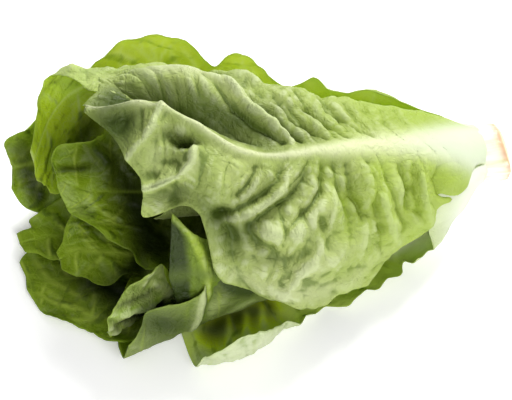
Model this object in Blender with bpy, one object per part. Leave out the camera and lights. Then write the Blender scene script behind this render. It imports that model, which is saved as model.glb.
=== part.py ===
# Romaine lettuce head lying on its side: a tapered stem core and 21 leaves.
#
# Every point is first placed in head coordinates: station (distance from the cut end along
# the stem), angle (round the stem, 0 towards the front, 90 up, 180 to the back) and radius.
# Leaf 0 is the outermost and each later one sprouts higher up and lies inside it.

import bpy
import bmesh
from math import radians, sin, cos, exp

mm = 0.001

# Driving sizes
axisHeight = [(0, 29), (60, 38), (120, 47), (200, 56), (285, 60)]      # station, height, mm
headRadius = [(0, 16.4), (17, 23), (34, 34), (56, 44.5), (80, 52), (120, 62)]
fullestAngle = -50            # the packed part bulges most here, and least on the far side
fullness = 0.19
coreRadius = [(0, 14.6), (12, 14.2), (30, 12.4), (50, 9.5), (66, 6.2), (74, 3.0)]
coreTop = 76 * mm             # station of the growing point
cutTilt = 0.28                # the knife's slope across the cut end
firstSprout = 4 * mm          # station where the outermost leaf leaves the core
sproutStep = 3.2 * mm         # from one leaf's sprouting station to the next
bladeThickness = 0.9 * mm
ribThickness = 1.6 * mm       # what the outermost leaf's midrib adds at its base
ribThinning = 0.06            # how much less of that each later leaf has, as a share
ribShare = 0.16               # midrib's half width as a share of the leaf's half width
baseHalfAngle = 38            # half the arc that a leaf's foot holds round the core
packedUpTo = 70 * mm          # nearer the cut than this the leaves lie packed on each other
freeFrom = 118 * mm           # and beyond this each leaf has the shape of its own table
floorRounding = 6 * mm        # how softly a leaf bends on to the surface below
facesDown = 0.05              # how far downward a place must face before the surface holds it
clearance = 0.5 * mm
wholeFrom = 34 * mm           # station from which the packed part bulges in full
leastRib = 0.1                # share of the rib's thickness that the innermost leaves keep
ribFade = 1.5                 # how fast the midrib dies away towards the tip
endCrowding = 0.25            # rows of points crowd by this share towards a leaf's two ends
ribCrowding = 0.45            # and columns by this share towards its midrib
knifeFace = [(0, 0), (0, 12.6), (0.9, 14.0), (3, 14.6)]   # cut face and its rounded rim
cutDepth = 12 * mm            # the cut's slope has died away this far up the stem
coreSides = 24
outerCells = (8, 12)          # grid cells across and along a leaf
heartCells = (8, 9)
sharpAngle = 50
samePlace = 0.01 * mm

# Each leaf: base angle, then rows of
# station, low edge angle, high edge angle, radius at low edge, middle and high edge, lift
# (degrees and mm; lift is how far the leaf stays above the surface that the head lies on).
leaves = {
    "outer_leaf_front": (60, [
        (30, 22, 112, 30, 30, 28, 0.6), (46, -20, 118, 43, 40, 32, 0.6),
        (100, -17, 121, 76, 56, 43, 0.6), (131, -15, 125, 81, 60, 57, 0.6),
        (153, -12, 129, 75, 61, 62, 0.6), (170, -8, 132, 69, 61, 65, 0.6),
        (184, 10, 137, 58, 60, 68, 0.6), (200, 36, 143, 46, 57, 71, 0.6),
        (214, 58, 149, 40, 55, 76, 0.6), (225, 92, 150, 48, 61, 77, 0.6),
        (232, 112, 134, 60, 64, 68, 0.6)]),
    "outer_leaf_back": (202, [
        (34, 162, 236, 28, 28, 28, 0.6), (60, 156, 240, 34, 40, 34, 0.6),
        (100, 147, 248, 47, 62, 52, 0.6), (134, 147, 250, 66, 77, 62, 0.6),
        (167, 152, 250, 82, 85, 62, 0.6), (189, 154, 245, 87, 88, 66, 0.6),
        (206, 158, 235, 84, 86, 70, 0.6), (219, 170, 218, 80, 80, 74, 0.6)]),
    "outer_leaf_underneath": (-35, [
        (24, -98, -6, 30, 30, 30, 0.6), (46, -108, -13, 44, 46, 44, 0.6),
        (100, -108, -11, 60, 64, 70, 0.6), (131, -107, -12, 60, 72, 73, 0.6),
        (146, -106, -17, 60, 76, 82, 0.6), (162, -104, -17, 62, 84, 92, 0.6),
        (177, -100, -18, 66, 90, 95, 0.6), (189, -82, -20, 76, 94, 97, 0.6),
        (194, -62, -25, 88, 96, 98, 0.6)]),
    "outer_leaf_top": (128, [
        (60, 62, 140, 36, 34, 30, 3), (100, 55, 134, 48, 42, 38, 3),
        (135, 52, 128, 52, 50, 50, 3), (165, 55, 118, 50, 52, 54, 3),
        (180, 70, 110, 48, 50, 52, 3), (188, 84, 102, 47, 48, 49, 3)]),
    "front_leaf_folded": (-110, [
        (60, -110, -25, 36, 40, 38, 3), (100, -107, -18, 50, 56, 58, 3.4),
        (140, -105, -9, 54, 66, 62, 3.6), (168, -103, 2, 56, 74, 50, 3.6),
        (180, -101, 4, 58, 78, 48, 3.6), (191, -98, -8, 60, 82, 58, 3),
        (203, -94, -15, 64, 84, 72, 1.6), (216, -82, -21, 70, 86, 76, 0.6),
        (226, -66, -28, 80, 88, 85, 0.6), (232, -46, -33, 86, 89, 88, 0.6)]),
    "middle_leaf_front": (32, [
        (60, -18, 66, 40, 36, 34, 6), (100, -12, 70, 66, 50, 42, 6),
        (130, -10, 72, 70, 52, 45, 6), (152, -2, 66, 62, 53, 47, 6),
        (164, 16, 50, 52, 49, 46, 6)]),
    "outer_leaf_far": (166, [
        (60, 158, 240, 32, 35, 32, 3), (100, 160, 244, 42, 50, 45, 3.2),
        (140, 167, 246, 60, 64, 56, 3.2), (180, 171, 246, 74, 73, 60, 3.2),
        (212, 174, 240, 77, 72, 60, 2.4), (236, 180, 238, 74, 70, 62, 1.2),
        (254, 184, 236, 70, 66, 62, 0.6), (266, 190, 228, 69, 65, 63, 0.6),
        (272, 202, 220, 66, 64, 64, 0.6)]),
    "outer_leaf_floor": (-58, [
        (60, -122, -45, 34, 38, 38, 6), (100, -130, -38, 44, 50, 52, 6.4),
        (140, -134, -33, 54, 60, 58, 6.8), (180, -132, -33, 58, 66, 65, 7),
        (210, -124, -33, 60, 72, 74, 6), (233, -118, -36, 61, 72, 80, 3.4),
        (246, -116, -43, 61, 67, 74, 1.4), (258, -114, -53, 60, 64, 68, 0.6),
        (267, -108, -68, 58, 61, 62, 0.6), (273, -98, -83, 58, 60, 60, 0.6)]),
    "middle_leaf_top": (70, [
        (60, 35, 112, 30, 30, 27, 9), (100, 30, 114, 41, 37, 33, 9),
        (135, 28, 114, 42, 41, 39, 9), (160, 34, 110, 42, 41, 39, 9),
        (177, 58, 92, 41, 41, 40, 9)]),
    "small_leaf_far": (226, [
        (60, 196, 268, 27, 28, 27, 8), (100, 200, 270, 38, 40, 38, 9),
        (150, 206, 272, 50, 48, 46, 10), (190, 212, 272, 58, 52, 48, 10),
        (222, 219, 272, 60, 54, 50, 8), (245, 226, 271, 59, 56, 53, 5),
        (262, 233, 268, 58, 57, 55, 4), (273, 246, 261, 58, 57, 56, 3.4)]),
    "front_leaf_curled": (-30, [
        (60, -83, -18, 28, 30, 30, 9), (100, -86, -18, 38, 42, 45, 10),
        (140, -86, -14, 44, 50, 48, 11), (180, -85, -15, 48, 58, 46, 11),
        (200, -80, -20, 50, 62, 50, 10), (215, -70, -23, 54, 68, 60, 9),
        (226, -60, -26, 60, 70, 70, 9), (233, -46, -28, 68, 74, 75, 8)]),
    "middle_leaf_back": (136, [
        (60, 104, 184, 24, 26, 26, 6), (100, 118, 190, 30, 36, 38, 6),
        (140, 120, 198, 38, 52, 50, 6), (180, 119, 207, 46, 66, 50, 6),
        (210, 120, 216, 51, 70, 44, 6), (228, 130, 222, 57, 72, 35, 6),
        (245, 140, 223, 60, 62, 27, 6), (256, 150, 222, 56, 46, 24, 6),
        (261, 168, 212, 42, 34, 25, 6)]),
    "middle_leaf_floor": (272, [
        (60, 226, 296, 20, 22, 22, 14), (100, 222, 300, 28, 32, 33, 15),
        (140, 220, 301, 34, 38, 40, 15), (180, 221, 301, 37, 40, 44, 15),
        (210, 228, 302, 36, 40, 48, 14), (229, 234, 302, 32, 39, 51, 12),
        (243, 241, 299, 30, 39, 47, 11), (255, 258, 292, 38, 41, 43, 10),
        (261, 268, 284, 41, 42, 42, 10)]),
    "middle_leaf_near": (42, [
        (60, 8, 84, 22, 22, 21, 12), (100, 2, 88, 36, 33, 30, 12),
        (135, -4, 88, 40, 35, 33, 12), (158, 4, 78, 38, 35, 33, 12),
        (170, 24, 58, 36, 34, 33, 12)]),
    "heart_leaf_open": (196, [
        (66, 152, 256, 17, 17, 18, 18), (100, 142, 304, 26, 25, 28, 18),
        (140, 142, 314, 34, 30, 35, 18), (180, 146, 320, 39, 30, 42, 18),
        (205, 150, 327, 35, 23, 45, 18), (220, 155, 326, 31, 17, 39, 18),
        (235, 160, 311, 28, 13, 25, 18), (246, 162, 286, 27, 12, 14, 18),
        (252, 166, 206, 25, 18, 13, 18)]),
}

# The heart: small upright leaves wrapped round each other, each turned by the golden angle
heartCount = 6
heartFirstAngle = 325
goldenAngle = 137.5
heartRadius = 18.0            # mm, outermost heart leaf in its middle
heartStep = 2.6               # mm, from one heart leaf to the next inside it
heartLength = 196             # mm, tip station of the outermost one
heartLengthStep = 7
heartHalfAngle = 78
heartLift = 20
heartBody = [(74, 0.72, 0.9), (110, 1, 1), (150, 1, 1.04)]     # station, width and radius shares
heartTip = [(-12, 0.75, 1), (0, 0.2, 0.98)]                    # the same, measured from the tip

stemColour = (0.86, 0.88, 0.68)
stemRoughness = 0.45
leafRoughness = 0.5
heartRoughness = 0.4
leafColours = {
    "outer": (0.36, 0.52, 0.13), "front": (0.38, 0.55, 0.14), "small": (0.33, 0.50, 0.10),
    "middle": (0.42, 0.60, 0.14), "heart": (0.60, 0.72, 0.26),
}


def smoothValue(points, at):
    # Catmull-Rom curve through points of (place, value), level beyond its ends
    if at <= points[0][0]:
        return points[0][1]
    for i in range(len(points) - 1):
        (x0, y0), (x1, y1) = points[i], points[i + 1]
        if at <= x1:
            before = points[i - 1] if i > 0 else (x0, y0)
            after = points[i + 2] if i + 2 < len(points) else (x1, y1)
            width = x1 - x0
            slope0 = (y1 - before[1]) / (x1 - before[0]) * width
            slope1 = (after[1] - y0) / (after[0] - x0) * width
            t = (at - x0) / width
            return ((2 * t**3 - 3 * t**2 + 1) * y0 + (t**3 - 2 * t**2 + t) * slope0
                    + (3 * t**2 - 2 * t**3) * y1 + (t**3 - t**2) * slope1)
    return points[-1][1]


def inMetres(table, station):
    return smoothValue(table, station / mm) * mm


def softMin(a, b, k):
    h = max(k - abs(a - b), 0) / k
    return min(a, b) - h * h * k / 4


def easeBetween(a, b, at):
    t = min(max((at - a) / (b - a), 0), 1)
    return t * t * (3 - 2 * t)


def toWorld(station, angle, radius):
    # The stem's line slopes: the cut end lies lower than the tips
    z = inMetres(axisHeight, station) + radius * sin(radians(angle))
    return (-station, -radius * cos(radians(angle)), z)


def rowValue(rows, column, station):
    return smoothValue([(row[0], row[column]) for row in rows], station / mm)


def ribHeight(rank):
    return ribThickness * max(1 - ribThinning * rank, leastRib)


def packedRadius(rank, station, angle):
    # Leaves that have sprouted share the room between the core and the head's outside
    sprouted = min((station - firstSprout) / sproutStep, len(leaves) + heartCount)
    share = max(sprouted - rank, 0) / (sprouted + 1)
    core = inMetres(coreRadius, station) + clearance + ribHeight(rank) + bladeThickness
    bulge = 1 + fullness * cos(radians(angle - fullestAngle)) * easeBetween(0, wholeFrom, station)
    return core + (inMetres(headRadius, station) * bulge - core) * share


def leafRadius(rank, rows, station, v, angle):
    low, middle, high = (rowValue(rows, c, station) * mm for c in (3, 4, 5))
    bend = (low + high) / 2 - middle
    own = middle + (high - low) / 2 * v + bend * v * v
    loose = easeBetween(packedUpTo, freeFrom, station)
    radius = packedRadius(rank, station, angle) * (1 - loose) + own * loose
    downward = -sin(radians(angle))
    if downward > facesDown:
        lift = rowValue(rows, 6, station) * mm
        toFloor = (inMetres(axisHeight, station) - lift) / downward
        radius = softMin(radius, toFloor, floorRounding)
    return radius


def leafGrid(name, rank, baseAngle, rows, across, along):
    # Each leaf is a grid: outer face, then the same grid pushed inwards by its thickness
    start = firstSprout + rank * sproutStep
    end = rows[-1][0] * mm
    foot = (start / mm, baseAngle - baseHalfAngle, baseAngle + baseHalfAngle,
            *rows[0][3:6], rows[0][6])
    rows = [foot] + rows
    bm = bmesh.new()
    bmesh.ops.create_grid(bm, x_segments=along, y_segments=across, size=1)
    outer = list(bm.verts)
    place = {vert: (vert.co.x, vert.co.y) for vert in outer}
    faces = list(bm.faces)
    inward = bmesh.ops.extrude_face_region(bm, geom=faces)["geom"]
    inner = [g for g in inward if isinstance(g, bmesh.types.BMVert)]
    for vert in inner:
        place[vert] = (vert.co.x, vert.co.y)
    innerSet = set(inner)
    for vert, (x, y) in place.items():
        u = (x + 1) / 2
        u = u * (1 - endCrowding) + endCrowding * (0.5 - 0.5 * cos(radians(180 * u)))
        v = y * (1 - ribCrowding + ribCrowding * abs(y))
        station = start + (end - start) * u
        low, high = rowValue(rows, 1, station), rowValue(rows, 2, station)
        angle = (low + high) / 2 + (high - low) / 2 * v
        radius = leafRadius(rank, rows, station, v, angle)
        if vert in innerSet:
            rib = ribHeight(rank) * exp(-(v / ribShare) ** 2) * (1 - u) ** ribFade
            radius -= bladeThickness + rib
        vert.co = toWorld(station, angle, radius)
    bmesh.ops.recalc_face_normals(bm, faces=bm.faces)
    return bm


def makeMaterial(name, colour, roughness):
    material = bpy.data.materials.new(name)
    material.use_nodes = True
    shader = material.node_tree.nodes["Principled BSDF"]
    shader.inputs["Base Color"].default_value = (*colour, 1)
    shader.inputs["Roughness"].default_value = roughness
    shader.inputs["Metallic"].default_value = 0
    return material


def addObject(name, bm, material):
    mesh = bpy.data.meshes.new(name)
    bm.to_mesh(mesh)
    bm.free()
    mesh.materials.append(material)
    mesh.shade_smooth()
    mesh.set_sharp_from_angle(angle=radians(sharpAngle))
    obj = bpy.data.objects.new(name, mesh)
    bpy.context.scene.collection.objects.link(obj)
    return obj


def makeCore():
    # The stem inside the head, turned from its profile and cut off slightly askew
    profile = knifeFace + coreRadius[1:] + [(coreTop / mm, 0)]
    bm = bmesh.new()
    verts = [bm.verts.new((-s * mm, -r * mm, 0)) for s, r in profile]
    edges = [bm.edges.new(pair) for pair in zip(verts, verts[1:])]
    bmesh.ops.spin(bm, geom=verts + edges, axis=(1, 0, 0), cent=(0, 0, 0),
                   angle=radians(360), steps=coreSides, use_merge=True)
    bmesh.ops.remove_doubles(bm, verts=bm.verts, dist=samePlace)
    bmesh.ops.recalc_face_normals(bm, faces=bm.faces)
    for vert in bm.verts:
        station = -vert.co.x
        slant = cutTilt * vert.co.z * (1 - easeBetween(0, cutDepth, station))
        vert.co.x -= slant
        vert.co.z += inMetres(axisHeight, max(-vert.co.x, 0))
    return addObject("stem_core", bm, makeMaterial("stem_flesh", stemColour, stemRoughness))


def makeLeaf(name, rank, baseAngle, rows, across, along):
    bm = leafGrid(name, rank, baseAngle, rows, across, along)
    kind = name.split("_")[0]
    roughness = heartRoughness if kind == "heart" else leafRoughness
    return addObject(name, bm, makeMaterial(name + "_blade", leafColours[kind], roughness))


def heartRows(index):
    angle = heartFirstAngle + goldenAngle * index
    radius = heartRadius - heartStep * index
    tip = heartLength - heartLengthStep * index
    rows = []
    for station, width, share in heartBody + [(tip + back, w, r) for back, w, r in heartTip]:
        low, high = angle - heartHalfAngle * width, angle + heartHalfAngle * width
        rows.append((station, low, high, *[radius * share] * 3, heartLift))
    return angle, rows


def standOnFloor(objects):
    # The reference point is on the surface below the middle of the head
    corners = [obj.matrix_world @ v.co for obj in objects for v in obj.data.vertices]
    lows = [min(c[i] for c in corners) for i in range(3)]
    highs = [max(c[i] for c in corners) for i in range(3)]
    shift = ((lows[0] + highs[0]) / 2, (lows[1] + highs[1]) / 2, lows[2])
    for obj in objects:
        for vert in obj.data.vertices:
            for i in range(3):
                vert.co[i] -= shift[i]


for leftover in list(bpy.data.objects):
    bpy.data.objects.remove(leftover, do_unlink=True)

parts = [makeCore()]
for rank, (name, (baseAngle, rows)) in enumerate(leaves.items()):
    parts.append(makeLeaf(name, rank, baseAngle, rows, *outerCells))
for index in range(heartCount):
    baseAngle, rows = heartRows(index)
    name = "heart_leaf_" + str(index + 1)
    parts.append(makeLeaf(name, len(leaves) + index, baseAngle, rows, *heartCells))
standOnFloor(parts)
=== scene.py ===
import bpy
import bmesh
import numpy as np
from math import radians, sin, cos, pi
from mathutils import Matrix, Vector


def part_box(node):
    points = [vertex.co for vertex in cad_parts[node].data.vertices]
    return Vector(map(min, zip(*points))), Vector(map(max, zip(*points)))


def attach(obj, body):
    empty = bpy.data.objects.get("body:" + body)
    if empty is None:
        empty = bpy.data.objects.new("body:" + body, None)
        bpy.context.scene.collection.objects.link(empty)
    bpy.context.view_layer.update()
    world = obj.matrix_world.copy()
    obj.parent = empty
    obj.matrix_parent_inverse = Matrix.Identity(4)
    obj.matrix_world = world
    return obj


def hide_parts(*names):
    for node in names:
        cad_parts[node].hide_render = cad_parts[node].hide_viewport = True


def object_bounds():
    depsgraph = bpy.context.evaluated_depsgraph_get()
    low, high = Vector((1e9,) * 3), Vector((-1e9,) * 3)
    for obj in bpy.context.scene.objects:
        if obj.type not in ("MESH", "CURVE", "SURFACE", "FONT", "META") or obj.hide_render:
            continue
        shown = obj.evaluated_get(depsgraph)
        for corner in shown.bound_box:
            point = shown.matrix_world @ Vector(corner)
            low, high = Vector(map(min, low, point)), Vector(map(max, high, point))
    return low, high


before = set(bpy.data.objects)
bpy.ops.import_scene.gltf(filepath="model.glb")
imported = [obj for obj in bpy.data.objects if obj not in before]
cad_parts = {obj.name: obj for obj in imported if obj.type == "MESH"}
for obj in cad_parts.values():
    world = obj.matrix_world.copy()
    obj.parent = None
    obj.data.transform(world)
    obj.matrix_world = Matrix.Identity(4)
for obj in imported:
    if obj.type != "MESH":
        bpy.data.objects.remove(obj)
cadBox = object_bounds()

from types import SimpleNamespace
from mathutils import Vector

mm = 0.001
headLength = cadBox[1].x - cadBox[0].x
headHeight = cadBox[1].z - cadBox[0].z
cutX = cadBox[1].x
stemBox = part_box("stem_core")
stemY = (stemBox[0].y + stemBox[1].y) / 2

# Height of the stem's line: share of the head's length from the cut, share of its height
stemLine = [(0.0, 0.25), (0.217, 0.33), (0.434, 0.407), (0.723, 0.485), (1.03, 0.52)]
sheetReach = 60 * mm      # a typical radius, which turns angles into lengths
noiseCells = 97           # the noise repeats after so many cells
blisterCells = 89


def smoothCurve(keys, values, at):
    # Catmull-Rom through values given at rising keys, level beyond the ends
    keys, values, at = (np.asarray(a, float) for a in (keys, values, at))
    slopes = np.gradient(values, keys, axis=0)
    i = np.clip(np.searchsorted(keys, at) - 1, 0, len(keys) - 2)
    width = keys[i + 1] - keys[i]
    t = np.clip((at - keys[i]) / width, 0, 1)
    if values.ndim > 1:
        t, width = t[..., None], width[..., None]
    return ((2 * t**3 - 3 * t**2 + 1) * values[i] + (t**3 - 2 * t**2 + t) * slopes[i] * width
            + (3 * t**2 - 2 * t**3) * values[i + 1] + (t**3 - t**2) * slopes[i + 1] * width)


def ease(low, high, at):
    t = np.clip((at - low) / (high - low), 0, 1)
    return t * t * (3 - 2 * t)


def bell(away, width):
    return np.exp(-(away / width) ** 2)


def stemHeight(share):
    keys, heights = zip(*stemLine)
    return smoothCurve(keys, heights, share) * headHeight + cadBox[0].z


def toWorld(share, angle, radius):
    # share of the head's length from the cut, angle round the stem (0 front, 90 up), radius
    turn = np.radians(angle)
    return np.stack([cutX - share * headLength,
                     stemY - radius * np.cos(turn),
                     stemHeight(share) + radius * np.sin(turn)], axis=-1)


def toFlat(share, angle, reach=sheetReach):
    # The head unrolled: lengths along it and round it
    return np.stack([share * headLength, np.radians(angle) * reach], axis=-1)


def nearest(angle, centre):
    return centre + (np.asarray(angle, float) - centre + 180) % 360 - 180


def turnTo(line, centre):
    # A line of (share, angle), its angles brought within half a turn of the centre
    line = np.array(line, float)
    line[:, 1] = nearest(line[:, 1], centre)
    return line


def lengthAlong(points, axis):
    steps = np.linalg.norm(np.diff(points, axis=axis), axis=-1)
    start = np.zeros_like(np.take(steps, [0], axis=axis))
    return np.concatenate([start, np.cumsum(steps, axis=axis)], axis=axis)


def alongLine(line, at):
    # Points of a line of (share, angle) at shares of its length
    reached = lengthAlong(toFlat(*line.T), 0)
    return smoothCurve(reached / reached[-1], line, at)


def lineDistance(x, y, line):
    # Distance to a polyline, and how far along it (0 to 1) the nearest place is
    best, where = np.full(x.shape, 1e9), np.zeros(x.shape)
    for k, (a, b) in enumerate(zip(line[:-1], line[1:])):
        way = b - a
        t = np.clip(((x - a[0]) * way[0] + (y - a[1]) * way[1]) / (way @ way), 0, 1)
        d = np.hypot(x - a[0] - t * way[0], y - a[1] - t * way[1])
        closer = d < best
        best, where = np.where(closer, d, best), np.where(closer, (k + t) / (len(line) - 1), where)
    return best, where


def normalsOf(points):
    along, across = np.gradient(points, axis=0), np.gradient(points, axis=1)
    normal = np.cross(across, along)
    return normal / np.maximum(np.linalg.norm(normal, axis=-1, keepdims=True), 1e-12)


def flatNoise(x, y, seed):
    # Smooth gradient noise over a plane, about -1 to 1
    turn = np.random.default_rng(seed).uniform(0, 2 * pi, (noiseCells, noiseCells))
    xi, yi = np.floor(x).astype(int), np.floor(y).astype(int)
    xf, yf = x - xi, y - yi

    def corner(dx, dy):
        way = turn[(xi + dx) % noiseCells, (yi + dy) % noiseCells]
        return np.cos(way) * (xf - dx) + np.sin(way) * (yf - dy)
    sx, sy = xf**3 * (xf * (6 * xf - 15) + 10), yf**3 * (yf * (6 * yf - 15) + 10)
    low = corner(0, 0) * (1 - sx) + corner(1, 0) * sx
    high = corner(0, 1) * (1 - sx) + corner(1, 1) * sx
    return (low * (1 - sy) + high * sy) * 1.5


def blisters(x, y, seed):
    # Rounded swellings in irregular cells, 1 in their middles and 0 in the creases between
    jitter = np.random.default_rng(seed).uniform(0.1, 0.9, (2, blisterCells, blisterCells))
    xi, yi = np.floor(x).astype(int), np.floor(y).astype(int)
    first, second = np.full(x.shape, 9.0), np.full(x.shape, 9.0)
    for dx in (-1, 0, 1):
        for dy in (-1, 0, 1):
            cx, cy = (xi + dx) % blisterCells, (yi + dy) % blisterCells
            away = np.hypot(xi + dx + jitter[0, cx, cy] - x, yi + dy + jitter[1, cx, cy] - y)
            second = np.minimum(second, np.maximum(away, first))
            first = np.minimum(first, away)
    return 1 - np.exp(-3.2 * (second - first))


def packedLeaf(node, reach=40 * mm, neighbours=0.8 * mm):
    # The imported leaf's outer face: share, angle and radius of its points, and its middle angle
    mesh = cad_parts[node].data
    co = np.zeros(len(mesh.vertices) * 3)
    mesh.vertices.foreach_get("co", co)
    co = np.unique(co.reshape(-1, 3).round(6), axis=0)
    share = (cutX - co[:, 0]) / headLength
    up, front = co[:, 2] - stemHeight(share), stemY - co[:, 1]
    radius = np.hypot(up, front)
    centre = np.degrees(np.arctan2(up.sum(), front.sum()))
    angle = nearest(np.degrees(np.arctan2(up, front)), centre)
    flat = toFlat(share, angle, reach)
    close = np.linalg.norm(flat[:, None] - flat[None], axis=2) < neighbours
    outer = radius >= np.where(close, radius[None], 0).max(axis=1) - 1e-6
    return SimpleNamespace(share=share[outer], angle=angle[outer], radius=radius[outer],
                           centre=centre)


def shellOf(packed, smooth=2e-4, block=4000):
    # A thin-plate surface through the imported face: radius for any share and angle
    flat = toFlat(packed.share, packed.angle - packed.centre)

    def kernel(a, b):
        d = np.linalg.norm(a[:, None] - b[None], axis=2) / sheetReach
        return d**2 * np.log(d + 1e-9)
    n = len(flat)
    system = np.zeros((n + 3, n + 3))
    system[:n, :n] = kernel(flat, flat) + np.eye(n) * smooth
    system[:n, n] = system[n, :n] = 1
    system[:n, n + 1:] = flat
    system[n + 1:, :n] = flat.T
    weights = np.linalg.solve(system, np.concatenate([packed.radius, np.zeros(3)]))

    def radiusAt(shares, angles):
        at = toFlat(np.ravel(shares), np.ravel(angles) - packed.centre)
        found = weights[n] + at @ weights[n + 1:]
        for k in range(0, len(at), block):
            found[k:k + block] += kernel(at[k:k + block], flat) @ weights[:n]
        return found.reshape(np.shape(shares))
    return radiusAt


def packedOutline(packed, tip=0.012):
    # Low margin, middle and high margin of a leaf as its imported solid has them
    rows = []
    for level in np.unique(packed.share.round(3)):
        own = packed.angle[np.abs(packed.share - level) < 0.002]
        rows.append((level, own.min(), own.max()))
    rows = np.array(rows)
    level, low, high = rows[-1]
    middle = (low + high) / 2

    def closed(column, last):
        ends = [(level + tip * 0.7, (last + middle) / 2), (level + tip, middle)]
        return np.concatenate([rows[:, [0, column]], ends])
    lows, highs = closed(1, low), closed(2, high)
    return lows, (lows + highs) / 2, highs


def slabMesh(name, outer, inner, fields):
    # A grid pushed through to a thin closed slab, whose points then take the leaf's places
    rows, columns = outer.shape[:2]
    bm = bmesh.new()
    bmesh.ops.create_grid(bm, x_segments=rows - 1, y_segments=columns - 1, size=1)
    pushed = bmesh.ops.extrude_face_region(bm, geom=list(bm.faces))["geom"]
    lower = [g for g in pushed if isinstance(g, bmesh.types.BMVert)]
    bmesh.ops.translate(bm, verts=lower, vec=(0, 0, -1))
    bmesh.ops.recalc_face_normals(bm, faces=bm.faces)
    mesh = bpy.data.meshes.new(name)
    bm.to_mesh(mesh)
    bm.free()
    co = np.zeros(len(mesh.vertices) * 3)
    mesh.vertices.foreach_get("co", co)
    co = co.reshape(-1, 3)
    row = np.rint((co[:, 0] + 1) / 2 * (rows - 1)).astype(int)
    column = np.rint((co[:, 1] + 1) / 2 * (columns - 1)).astype(int)
    side = co[:, 2] > -0.5        # the slab's upper side becomes the inner face
    places = np.where(side[:, None], inner[row, column], outer[row, column])
    mesh.vertices.foreach_set("co", places.ravel())
    mesh.attributes.new("side", "FLOAT", "POINT").data.foreach_set("value", side * 1.0)
    for key, values in fields.items():
        layer = mesh.attributes.new(key, "FLOAT", "POINT")
        layer.data.foreach_set("value", values[row, column])
    mesh.update()
    mesh.shade_smooth()
    return mesh


def addPiece(name, mesh, material, node):
    obj = bpy.data.objects.new(name, mesh)
    bpy.context.scene.collection.objects.link(obj)
    mesh.materials.append(material)
    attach(obj, "root")
    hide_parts(node)


class Graph:
    # Short calls that make and join the nodes of one material
    def __init__(self, name):
        self.material = bpy.data.materials.new(name)
        self.material.use_nodes = True
        self.tree = self.material.node_tree
        self.tree.nodes.clear()

    def node(self, kind, **values):
        node = self.tree.nodes.new(kind)
        for key, value in values.items():
            setattr(node, key, value)
        return node

    def feed(self, node, **inputs):
        # A key names a socket, or numbers it after an i
        for key, value in inputs.items():
            numbered = key[0] == "i" and key[1:].isdigit()
            socket = node.inputs[int(key[1:]) if numbered else key.replace("_", " ")]
            if hasattr(value, "is_output"):
                self.tree.links.new(value, socket)
            elif isinstance(value, tuple) and len(value) == 3 and socket.type == "RGBA":
                socket.default_value = (*value, 1)
            else:
                socket.default_value = value
        return node

    def field(self, name):
        return self.node("ShaderNodeAttribute", attribute_name=name).outputs["Fac"]

    def maths(self, kind, a, b=0.0):
        return self.feed(self.node("ShaderNodeMath", operation=kind), i0=a, i1=b).outputs[0]

    def times(self, a, b):
        return self.maths("MULTIPLY", a, b)

    def bySide(self, outer, inner):
        # One value on a leaf's outer face and another on its inner face
        return self.ramp(self.field("side"), 0.0, 1.0, outer, inner)

    def ramp(self, value, low, high, start=0.0, end=1.0):
        node = self.node("ShaderNodeMapRange", interpolation_type="SMOOTHSTEP")
        return self.feed(node, i0=value, i1=low, i2=high, i3=start, i4=end).outputs[0]

    def mix(self, share, a, b, blend="MIX"):
        node = self.node("ShaderNodeMix", data_type="RGBA", blend_type=blend)
        return self.feed(node, i0=share, i6=a, i7=b).outputs[2]

    def place(self):
        return self.node("ShaderNodeTexCoord").outputs["Object"]

    def noise(self, where, scale, detail=2.0, distortion=0.0):
        return self.feed(self.node("ShaderNodeTexNoise"), Vector=where, Scale=scale,
                         Detail=detail, Distortion=distortion)

    def cellEdges(self, where, scale):
        node = self.node("ShaderNodeTexVoronoi", feature="DISTANCE_TO_EDGE")
        return self.feed(node, Vector=where, Scale=scale).outputs["Distance"]

    def bump(self, height, strength, distance):
        return self.feed(self.node("ShaderNodeBump"), Height=height, Strength=strength,
                         Distance=distance).outputs[0]

    def principled(self, **inputs):
        return self.feed(self.node("ShaderNodeBsdfPrincipled"), **inputs)

    def finish(self, shader):
        out = self.node("ShaderNodeOutputMaterial")
        self.tree.links.new(shader.outputs[0], out.inputs["Surface"])
        return self.material


def srgb(r, g, b):
    # Linear colour of a colour as a paint chart gives it, 0 to 255
    return tuple(c / 255 / 12.92 if c / 255 <= 0.04045 else ((c / 255 + 0.055) / 1.055) ** 2.4
                 for c in (r, g, b))


# Colours are red, green and blue as on a paint chart, 0 to 255
leafPaint = {
    "outer": (193, 209, 122),      # matt underside of a blade, which faces outwards
    "outerDeep": (140, 164, 62),
    "inner": (188, 212, 58),       # glossier upper side, which faces the heart
    "innerDeep": (132, 162, 18),
    "rib": (250, 253, 208),
    "white": (232, 238, 216),      # the foot, near the stem
    "young": (186, 208, 76),       # the blade's lower part
    "edge": (186, 208, 100),
    "vein": (206, 222, 130),
    # Painted light and painted shade: a pale colour for painted light, a dark one for painted
    # shade, a painted highlight on the crumples' crests, painted shade in their valleys, and
    # painted shade deep between the leaves
    "light": (222, 230, 176),
    "dark": (88, 110, 28),
    "crest": (216, 226, 170),
    "crease": (122, 148, 50),
    "innerCrease": (84, 112, 8),
    "hollow": (48, 64, 10),        # deep between the leaves
}
leafTexture = {
    "patches": 38.0, "net": 150.0, "smallNet": 420.0, "crinkles": 190.0,    # pattern scales
    "mottle": 0.5,
    "bump": (0.7, 0.0008),             # strength and height
    "rough": (0.5, 0.38),              # outer face, inner face
    "gloss": (0.45, 0.25),
}


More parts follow.
